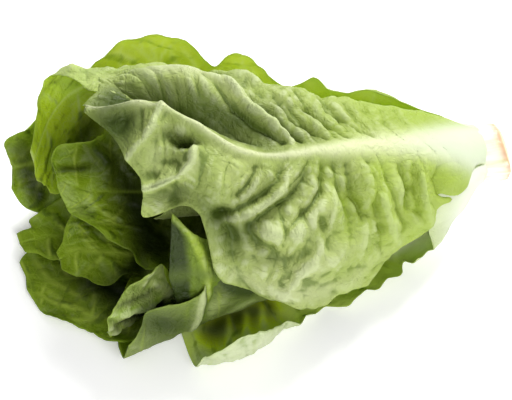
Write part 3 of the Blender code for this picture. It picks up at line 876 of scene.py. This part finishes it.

# Greener paint, for the leaves further in, with its own dark colours for their painted shade
shadedPaint = {"inner": (142, 170, 28), "innerDeep": (86, 116, 6),
               "outer": (176, 192, 112), "outerDeep": (126, 148, 62),
               "dark": (34, 46, 10), "edge": (168, 196, 62),
               "vein": (196, 218, 84), "hollow": (34, 46, 10),
               "rib": (176, 202, 70), "innerCrease": (70, 96, 8)}
foldedRidge = [(0.672, 0), (0.68, -14), (0.69, -27), (0.703, -38)]
foldedLeaf = {
    "node": "front_leaf_folded", "rows": 150, "columns": 120, "seed": 24, "ahead": 0.95,
    "low": [(0.08, -138), (0.22, -110), (0.36, -107), (0.51, -105), (0.61, -103),
            (0.69, -98), (0.734, -94), (0.78, -82), (0.817, -66), (0.84, -48), (0.848, -38)],
    "rib": [(0.08, -110), (0.22, -75), (0.36, -62), (0.51, -57), (0.61, -55), (0.69, -52),
            (0.76, -46), (0.82, -38), (0.85, -33)],
    "high": [(0.08, -72), (0.22, -25), (0.36, -18), (0.51, -9), (0.61, 2), (0.65, 7),
             (0.672, 7), (0.665, 0), (0.665, -8), (0.69, -15), (0.72, -15), (0.76, -14),
             (0.79, -15), (0.80, -22), (0.82, -26), (0.84, -28), (0.85, -31)],
    "crumple": 0.4, "pleat": 0.3,
    "creases": [(foldedRidge, 3, (3, 4, 4, 2), 1.4),
                ([(0.655, -6), (0.66, -18), (0.672, -32)], 4, (-2, -3, -2), 1.8),
                ([(0.80, -18), (0.76, -24), (0.72, -30)], 9, (-2, -4, -3), 2)],
    # painted light on the ridge, the pale facet and the margin, painted shade on the facet beside
    # the ridge and in the dark triangle
    "shades": [(foldedRidge, 1.8, (0.6, 0.7, 0.7, 0.5)),
               ([(0.79, -22), (0.75, -28), (0.715, -31)], 8, (-0.5, -0.6, -0.4)),
               ([(0.640, -10), (0.622, -17), (0.603, -20), (0.58, -22)], 5.5,
                (-1, -1.1, -1.1, -1)),
               ([(0.663, -32), (0.655, -26), (0.643, -24)], 4, (0.7, 0.8, 0.6)),
               ([(0.685, -43), (0.657, -42), (0.637, -38), (0.611, -35), (0.575, -31)], 1.6,
                (0.7, 0.8, 0.9, 0.9, 0.8))],
    # its own colours for painted shade and painted light
    "paint": {**shadedPaint, "outer": (142, 160, 84), "outerDeep": (96, 118, 42),
              "dark": (66, 84, 26), "light": (196, 212, 136)},
}
growLeaf("foldedLeaf", foldedLeaf)

farLeaf = {
    "node": "outer_leaf_far", "rows": 130, "columns": 100, "seed": 26, "ahead": 0.9,
    "low": [(0.10, 134), (0.217, 158), (0.36, 160), (0.50, 165), (0.65, 170), (0.767, 174),
            (0.853, 183), (0.915, 191), (0.95, 193), (0.972, 196), (0.98, 205)],
    "rib": [(0.10, 166), (0.217, 199), (0.36, 202), (0.50, 206), (0.65, 208), (0.767, 208),
            (0.853, 210), (0.93, 210), (0.982, 210)],
    "high": [(0.10, 200), (0.217, 240), (0.36, 244), (0.50, 246), (0.65, 246), (0.767, 240),
             (0.853, 238), (0.918, 236), (0.955, 232), (0.975, 222), (0.982, 214)],
    "paint": shadedPaint,
    # painted shade over part of the inner face
    "shades": [([(0.945, -158), (0.938, -145), (0.925, -134)], 7, (-0.6, -0.85, -0.85))],
    "veins": [([(0.915, -150), (0.94, -150), (0.965, -150)], 1.4),
              ([(0.925, -158), (0.945, -154), (0.965, -156)], 1.3),
              ([(0.915, -142), (0.94, -143), (0.96, -141)], 1.3)],
}
growLeaf("farLeaf", farLeaf)

floorLeaf = {
    "node": "outer_leaf_floor", "rows": 150, "columns": 110, "seed": 27, "ahead": 0.9,
    "low": [(0.115, -96), (0.217, -122), (0.36, -130), (0.5, -134), (0.65, -132),
            (0.76, -124), (0.843, -118), (0.90, -114), (0.933, -110), (0.965, -106),
            (0.992, -98), (0.998, -92)],
    "rib": [(0.115, -58), (0.217, -84), (0.36, -85), (0.5, -85), (0.65, -83), (0.76, -80),
            (0.85, -80), (0.93, -83), (0.998, -90)],
    "high": [(0.115, -22), (0.217, -45), (0.36, -38), (0.5, -33), (0.65, -33), (0.76, -33),
             (0.82, -34), (0.847, -36), (0.865, -41), (0.892, -49), (0.915, -53),
             (0.942, -56), (0.965, -62), (0.983, -74), (0.997, -86)],
    "paint": shadedPaint,
    "veins": [
        ([(0.847, -54), (0.874, -55), (0.897, -61), (0.929, -70), (0.956, -79)], 2.0),
        ([(0.897, -61), (0.938, -68), (0.969, -76)], 1.4),
        ([(0.874, -55), (0.906, -56), (0.938, -60)], 1.6),
        ([(0.883, -66), (0.911, -75), (0.942, -83), (0.96, -98)], 1.6)],
    # painted shade over the upper part
    "shades": [([(0.929, -92), (0.883, -81), (0.843, -70), (0.806, -60)], 10,
                (-0.3, -0.85, -1, -1))],
}
growLeaf("floorLeaf", floorLeaf)

smallLeaf = {
    "node": "small_leaf_far", "rows": 120, "columns": 70, "seed": 29, "ahead": 1.0,
    "low": [(0.135, 190), (0.217, 196), (0.36, 200), (0.54, 206), (0.69, 212), (0.80, 219),
            (0.86, 226), (0.905, 231), (0.936, 235), (0.956, 238), (0.953, 242),
            (0.976, 243), (0.990, 245), (0.996, 249)],
    "rib": [(0.135, 226), (0.217, 232), (0.36, 235), (0.54, 238), (0.69, 242), (0.80, 246),
            (0.90, 250), (0.95, 250), (0.996, 251)],
    "high": [(0.135, 262), (0.217, 268), (0.36, 270), (0.54, 272), (0.69, 272), (0.80, 272),
             (0.886, 271), (0.93, 267), (0.958, 259), (0.976, 257), (0.992, 253)],
    "paint": shadedPaint,
}
growLeaf("smallLeaf", smallLeaf)

curledValley = [(0.850, -25), (0.820, -30), (0.785, -38), (0.755, -39)]
curledLeaf = {
    "node": "front_leaf_curled", "rows": 130, "columns": 90, "seed": 30,
    # its own colour for painted light
    "paint": {**shadedPaint, "light": (158, 192, 48)},
    "low": [(0.217, -83), (0.36, -86), (0.51, -86), (0.65, -85), (0.72, -79), (0.77, -70),
            (0.81, -58), (0.845, -43), (0.867, -30)],
    "high": [(0.217, -18), (0.36, -18), (0.51, -16), (0.62, -26), (0.69, -32), (0.725, -30),
             (0.738, -20), (0.745, -10), (0.76, -8), (0.785, -9), (0.81, -11), (0.835, -12),
             (0.855, -13), (0.866, -18), (0.870, -26)],
    "creases": [([(0.855, -16), (0.826, -22), (0.786, -31), (0.755, -32)], 2.5,
                 (1, 2.5, 2.5, 2), 1.6),
                (curledValley, 4, (-1, -3, -3, -2), 1.8)],
    # painted shade along the valley, painted light on the strip along the fold, and a thin painted
    # shade line beside it
    "shades": [(curledValley, 4.5, (-0.4, -0.9, -1, -0.9)),
               ([(0.855, -15), (0.826, -21), (0.786, -30), (0.755, -31)], 1.7,
                (0.5, 0.7, 0.7, 0.6)),
               ([(0.842, -13), (0.815, -18), (0.785, -24), (0.75, -26)], 1.3,
                (-0.4, -0.6, -0.6, -0.4))],
}
growLeaf("curledLeaf", curledLeaf)

backMiddleLeaf = {
    "node": "middle_leaf_back", "rows": 150, "columns": 120, "seed": 31, "ahead": 1.0,
    "low": [(0.155, 102), (0.217, 104), (0.36, 118), (0.51, 120), (0.65, 119), (0.76, 120),
            (0.81, 128), (0.835, 140), (0.852, 151), (0.872, 160), (0.885, 170),
            (0.905, 180), (0.928, 188), (0.937, 196)],
    "rib": [(0.155, 136), (0.217, 144), (0.36, 154), (0.51, 159), (0.65, 163), (0.76, 168),
            (0.86, 182), (0.90, 190), (0.937, 199)],
    "high": [(0.155, 172), (0.217, 184), (0.36, 190), (0.51, 198), (0.65, 207),
             (0.76, 216), (0.825, 222), (0.886, 223), (0.907, 221), (0.922, 214),
             (0.935, 204)],
    # less painted shade deep in the head, and its own colours for painted shade and painted light
    "hollow": 0.35,
    "paint": {"dark": (52, 70, 8), "light": (196, 214, 128), "inner": (208, 230, 50),
              "innerDeep": (166, 196, 12)},
    # painted shade over the dark middle, painted light over a paler patch
    "shades": [
        ([(0.85, -152), (0.822, -161), (0.801, -167), (0.785, -172)], 8, (-0.5, -0.8, -0.8, -0.6)),
        ([(0.850, 168), (0.822, 176), (0.80, -178)], 8, (0.35, 0.35, 0.2))],
}
growLeaf("backMiddleLeaf", backMiddleLeaf)

floorMiddleLeaf = {
    "node": "middle_leaf_floor", "rows": 130, "columns": 90, "seed": 32, "ahead": 0.9,
    "low": [(0.17, 226), (0.217, 226), (0.36, 222), (0.5, 220), (0.65, 221), (0.76, 228),
            (0.83, 234), (0.866, 238), (0.878, 246), (0.895, 256), (0.905, 266),
            (0.92, 273), (0.927, 279)],
    "rib": [(0.17, 262), (0.217, 262), (0.36, 263), (0.5, 264), (0.65, 275), (0.768, 285),
            (0.815, 279), (0.875, 274), (0.928, 281)],
    "high": [(0.17, 298), (0.217, 296), (0.36, 300), (0.5, 301), (0.65, 301), (0.76, 302),
             (0.80, 302), (0.834, 302), (0.862, 298), (0.886, 292), (0.915, 290),
             (0.928, 284)],
    "paint": shadedPaint,
    "veins": [
        ([(0.76, -72), (0.805, -79), (0.846, -83), (0.895, -87)], 2.1),
        ([(0.825, -81), (0.842, -76), (0.87, -71)], 1.4),
        ([(0.805, -79), (0.813, -86), (0.817, -94)], 1.4),
        ([(0.846, -83), (0.858, -91), (0.866, -100)], 1.4)],
    # painted shade over its dark parts
    "shades": [([(0.765, -68), (0.793, -61), (0.821, -59)], 8, (-1, -0.9, -0.5)),
               ([(0.77, -90), (0.80, -100), (0.84, -108)], 8, (-0.9, -0.7, -0.5))],
}
growLeaf("floorMiddleLeaf", floorMiddleLeaf)

openHeartLeaf = {
    "node": "heart_leaf_open", "rows": 150, "columns": 130, "seed": 34, "ahead": 1.0,
    "low": [(0.19, 150), (0.24, 152), (0.36, 142), (0.51, 142), (0.65, 146), (0.74, 150),
            (0.80, 153), (0.85, 156), (0.885, 158), (0.897, 163), (0.902, 175)],
    "rib": [(0.19, 196), (0.24, 204), (0.36, 223), (0.51, 228), (0.65, 233), (0.74, 235),
            (0.82, 225), (0.87, 205), (0.902, 184)],
    "high": [(0.19, 240), (0.24, 256), (0.36, 304), (0.51, 314), (0.65, 320), (0.74, 322),
             (0.775, 318), (0.79, 302), (0.816, 300), (0.832, 293), (0.851, 286),
             (0.877, 272), (0.889, 240), (0.897, 215), (0.90, 194)],
    "paint": shadedPaint,
    # painted shade over the dark middle and in the oval slot, painted light along a paler band
    "shades": [
        ([(0.805, -189), (0.774, -159), (0.759, -129), (0.748, -97), (0.742, -60)], 15,
         (-0.7, -0.85, -0.95, -1, -1)),
        ([(0.880, -178), (0.848, -174)], 4.5, (-0.45, -0.4)),
        ([(0.885, -160), (0.885, -127), (0.858, -90), (0.828, -70)], 5, (0.25, 0.25, 0.15, 0))],
    "creases": [([(0.880, -178), (0.848, -174)], 4.5, (-1.8, -1.6), 2),
                ([(0.83, -160), (0.845, -120), (0.83, -92)], 5, (2, 3, 1), 2)],
    "veins": [([(0.76, -80), (0.80, -84), (0.83, -110), (0.85, -140)], 1.7),
              ([(0.80, -84), (0.83, -78)], 1.3)],
}
growLeaf("openHeartLeaf", openHeartLeaf)

frontMiddleRidge = [(0.716, 29), (0.689, 18), (0.673, 5), (0.664, -7), (0.67, -18),
                    (0.68, -32)]
frontMiddleLeaf = {
    "node": "middle_leaf_front", "rows": 120, "columns": 100, "seed": 61,
    "crumple": 0.6, "hollow": 0.0,
    "insets": ((0.2, 0.5, 0.60, 0.68), (0, 5, 5, -5)),
    "ribHigh": 0.0, "ribWide": (8, 6), "pleat": 1.2,
    "low": [(0.12, -10), (0.30, -11), (0.45, -12), (0.55, -14), (0.60, -17), (0.635, -27),
            (0.665, -37), (0.69, -40), (0.71, -42)],
    "rib": [(0.12, 25), (0.30, 24), (0.45, 22), (0.55, 12), (0.60, 2), (0.64, -6),
            (0.675, -6), (0.71, -6), (0.738, -6)],
    "high": [(0.12, 66), (0.30, 65), (0.45, 60), (0.55, 42), (0.60, 27), (0.635, 12),
             (0.66, 12), (0.69, 21), (0.716, 31)],
    "creases": [(frontMiddleRidge, 3.5, (2, 3, 3, 2.6, 2, 1), 2)],
    # painted light on the ridge and along a thin line, painted shade over the dark face beyond it
    "shades": [(frontMiddleRidge, 1.8, (1.1, 1.2, 1.2, 1.1, 0.9, 0.6)),
               ([(0.71, 24), (0.717, 9), (0.72, -8), (0.715, -32)], 7, (-1, -1, -1, -1)),
               ([(0.692, 8), (0.689, -4), (0.698, -18)], 1.5, (0.3, 0.45, 0.4)),
               ([(0.75, 20), (0.74, 0), (0.73, -35)], 9, (-0.8, -0.8, -0.8))],
    # its own colours for painted shade and painted light
    "paint": {"outer": (130, 156, 44), "outerDeep": (104, 130, 28),
              "dark": (54, 72, 14), "light": (178, 202, 66), "rib": (110, 132, 48),
              "vein": (104, 128, 40)},
}
growLeaf("frontMiddleLeaf", frontMiddleLeaf)

# Leaves seen only through gaps
hiddenLeaf = {"crumple": 0.3, "insets": ((0.05, 0.2, 0.4, 0.5), (1, 3, 9, 11))}
hiddenPieces = [("crownLeaf", "outer_leaf", "outer_leaf_top"),
                ("topMiddleLeaf", "middle_leaf", "middle_leaf_top"),
                ("nearMiddleLeaf", "middle_leaf", "middle_leaf_near")]
for index, (name, slot, node) in enumerate(hiddenPieces):
    growLeaf(name, {**hiddenLeaf, "node": node, "seed": 50 + index})

heartLeaf = {"rows": 56, "columns": 44, "crumple": 0.4}
for index in range(6):
    growLeaf("heartLeaf" + str(index + 1),
             {**heartLeaf, "node": "heart_leaf_" + str(index + 1), "seed": 40 + index})

growStem("stemBody", stem)

# A pale floor in a white room, a broad key lamp behind on the right and a wider one in front
studio = {
    "floorSize": 6.0, "floorGap": 0.2 * mm, "floorGlow": 0.2,
    "floorPaint": ((0.93, 0.93, 0.93), (0.97, 0.97, 0.97)), "room": 0.45,
    "lamps": [("keyLamp", (1.2, 1.5, 2.1), 0.9, 108),       # place, size, power
              ("fillLamp", (0.3, -2.4, 1.5), 1.8, 58)],
}
view = {"azimuth": -14, "elevation": 50, "distance": 1.3, "lens": 165.29, "sensor": 36,
        "aim": (-0.00158, 0.01322, 0.01194)}


def layFloor(studio):
    bm = bmesh.new()
    bmesh.ops.create_grid(bm, x_segments=1, y_segments=1, size=studio["floorSize"])
    mesh = bpy.data.meshes.new("floor")
    bm.to_mesh(mesh)
    bm.free()
    floor = bpy.data.objects.new("floor", mesh)
    bpy.context.scene.collection.objects.link(floor)
    floor.location.z = cadBox[0].z - studio["floorGap"]
    g = Graph("floorPaint")
    colour = g.mix(g.noise(g.place(), 9.0).outputs["Fac"], *studio["floorPaint"])
    mesh.materials.append(g.finish(g.principled(
        Base_Color=colour, Roughness=0.9, Emission_Color=(1.0, 1.0, 1.0),
        Emission_Strength=studio["floorGlow"])))
    return floor


def lightRoom(studio):
    world = bpy.data.worlds.new("room")
    world.use_nodes = True
    background = world.node_tree.nodes["Background"]
    background.inputs["Color"].default_value = (1, 1, 1, 1)
    background.inputs["Strength"].default_value = studio["room"]
    bpy.context.scene.world = world
    for name, place, size, power in studio["lamps"]:
        lamp = bpy.data.lights.new(name, "AREA")
        lamp.size, lamp.energy = size, power
        obj = bpy.data.objects.new(name, lamp)
        bpy.context.scene.collection.objects.link(obj)
        obj.location = place
        obj.rotation_euler = (-Vector(place)).to_track_quat("-Z", "Y").to_euler()


def placeCamera(view):
    camera = bpy.data.cameras.new("camera")
    camera.lens, camera.sensor_width = view["lens"], view["sensor"]
    obj = bpy.data.objects.new("camera", camera)
    bpy.context.scene.collection.objects.link(obj)
    turn, rise = radians(view["azimuth"]), radians(view["elevation"])
    look = Vector((cos(rise) * sin(turn), -cos(rise) * cos(turn), sin(rise)))
    obj.location = Vector(view["aim"]) + look * view["distance"]
    obj.rotation_euler = (-look).to_track_quat("-Z", "Y").to_euler()
    return obj


floor = layFloor(studio)
lightRoom(studio)
bpy.context.scene.camera = placeCamera(view)
bpy.context.scene.view_settings.view_transform = "Standard"
print("studio", len(studio["lamps"]), "lamps")
